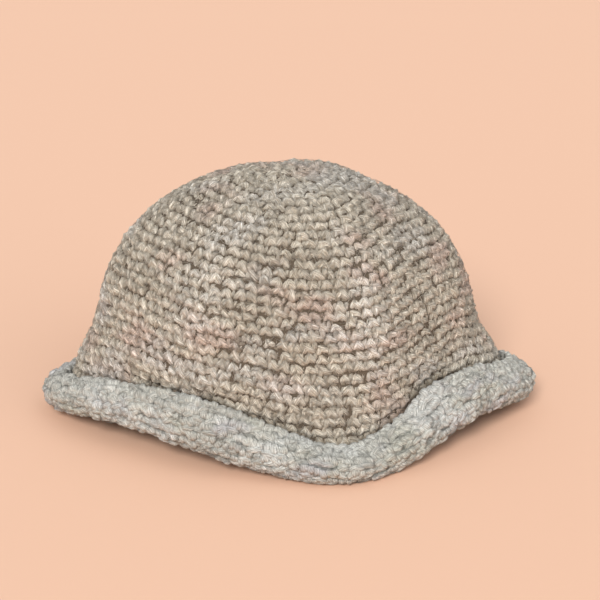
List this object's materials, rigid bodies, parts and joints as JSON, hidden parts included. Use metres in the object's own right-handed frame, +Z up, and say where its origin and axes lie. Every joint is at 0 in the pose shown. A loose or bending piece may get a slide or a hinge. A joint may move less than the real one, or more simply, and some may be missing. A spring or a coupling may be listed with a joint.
{
  "type": "knit bucket hat",
  "caption": "Soft crocheted bucket hat with a rounded beige crown and a pale grey brim rolled up all round, standing on its brim with the head opening underneath.",
  "frame": {"origin": "on the surface the hat stands on, under the middle of its outline from above", "axes": "+Z up through the crown, -Y towards the front, +X along the hat's widest way across the brim"},
  "size_m": [0.2484, 0.1958, 0.124],
  "materials": {
    "crown_wool": "heathered beige chunky yarn, crocheted in rounds, matt and slightly fuzzy",
    "brim_wool": "pale grey chunky yarn, crocheted in rounds, matt and slightly fuzzy"
  },
  "bodies": {
    "root": {"crown": "crown_wool", "rolled_brim": "brim_wool"}
  },
  "joints": []
}
